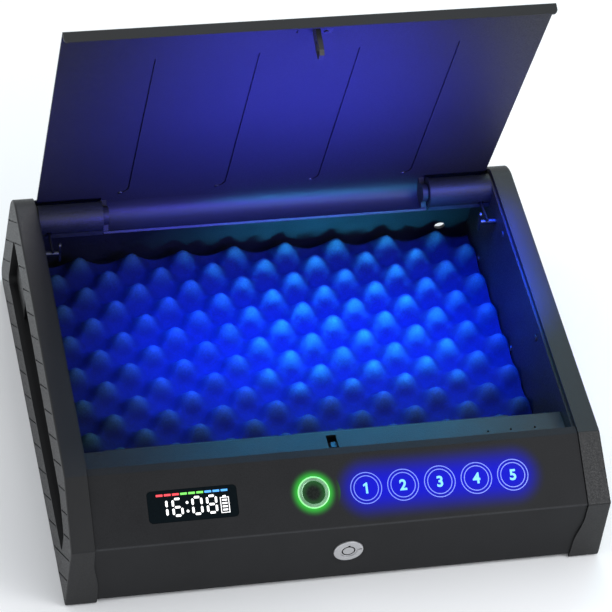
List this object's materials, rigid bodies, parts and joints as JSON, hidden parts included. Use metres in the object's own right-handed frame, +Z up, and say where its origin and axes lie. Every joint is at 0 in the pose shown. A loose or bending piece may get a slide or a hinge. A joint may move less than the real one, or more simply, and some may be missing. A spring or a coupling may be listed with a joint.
{
  "type": "gun safe",
  "caption": "Low desktop safe with sloped control panel, spring-hinged lid standing open, foam-lined steel tray, key lock and sliding latch.",
  "frame": {"origin": "on the floor, at the middle of the whole object's box with the lid open", "axes": "+X to the safe's right as seen from the front, +Y to the rear, +Z up"},
  "size_m": [0.34, 0.3077, 0.2926],
  "materials": {
    "shell_plastic": "fine texture, near black",
    "black_coat": "matt powder coat, near black",
    "trim_plastic": "satin, near black",
    "rubber_pad": "matt",
    "foam": "open-cell foam, charcoal",
    "screen_glass": "gloss, smoked",
    "key_blue": "translucent, lit blue",
    "ring_metal": "polished, lit green",
    "lock_chrome": "bright",
    "steel_bright": "bare steel",
    "zinc_cam": "zinc plated",
    "solenoid_wrap": "zinc plated",
    "circuit_green": "solder mask",
    "chip_black": "moulded",
    "cable_grey": "flat cable",
    "cell_jacket": "printed jacket",
    "nylon_white": "natural",
    "light_lens": "frosted, lit blue"
  },
  "bodies": {
    "case": {"cheek_right": "shell_plastic", "cheek_left": "shell_plastic", "foot_pads": "rubber_pad", "side_plate_right": "black_coat", "side_plate_left": "black_coat", "side_rivets": "black_coat", "case_tray": "black_coat", "foam_base": "foam", "front_bezel": "trim_plastic", "key_rings": "key_blue", "display_lens": "screen_glass", "display_module": "chip_black", "fingerprint_ring": "ring_metal", "fingerprint_sensor": "screen_glass", "touch_pads": "key_blue", "touch_board": "circuit_green", "lock_housing": "lock_chrome", "lock_nut": "zinc_cam", "inner_front_wall": "black_coat", "latch_guide": "nylon_white", "solenoid_body": "solenoid_wrap", "latch_spring": "steel_bright", "battery_holder": "trim_plastic", "battery_cells": "cell_jacket", "main_board": "circuit_green", "board_posts": "nylon_white", "board_chips": "chip_black", "buzzer": "chip_black", "ribbon_cable": "cable_grey", "light_housing": "trim_plastic", "light_diffuser": "light_lens", "hinge_pin_right": "steel_bright", "hinge_pin_left": "steel_bright", "hinge_cover_right": "black_coat", "hinge_cover_left": "black_coat", "torsion_spring_right": "steel_bright", "torsion_spring_left": "steel_bright", "spring_anchor_right": "steel_bright", "spring_anchor_left": "steel_bright"},
    "lid": {"lid_panel": "black_coat", "lid_rivets": "steel_bright", "striker": "steel_bright", "striker_rivets": "steel_bright"},
    "lock_core": {"lock_plug": "lock_chrome", "lock_cam": "zinc_cam", "cam_screw": "zinc_cam"},
    "latch": {"latch_bolt": "steel_bright", "solenoid_plunger": "steel_bright"},
    "battery_door": {"battery_cover": "trim_plastic"}
  },
  "joints": [
    {"name": "lid_hinge", "type": "hinge", "parent": "case", "child": "lid", "pos_m": [0, 0.1135, 0.0846], "axis": [1, 0, 0], "range_deg": [0, 72.8], "stiffness_Nm_per_rad": 0.7, "springref_deg": -51.57},
    {"name": "lock_turn", "type": "hinge", "parent": "case", "child": "lock_core", "pos_m": [0.0044, -0.14975, 0.02989], "axis": [0, 0.9937, 0.1116], "range_deg": [0, 90]},
    {"name": "latch_slide", "type": "slide", "parent": "case", "child": "latch", "axis": [1, 0, 0], "range_m": [0, 0.007], "stiffness_N_per_m": 150, "springref_m": -0.006, "deforming": ["latch_spring"]},
    {"name": "battery_door_slide", "type": "slide", "parent": "case", "child": "battery_door", "axis": [0, 1, 0], "range_m": [0, 0.03]}
  ],
  "couplings": [
    {"joint": "lock_turn", "follows": "latch_slide", "rad_per_m": 224.39}
  ]
}
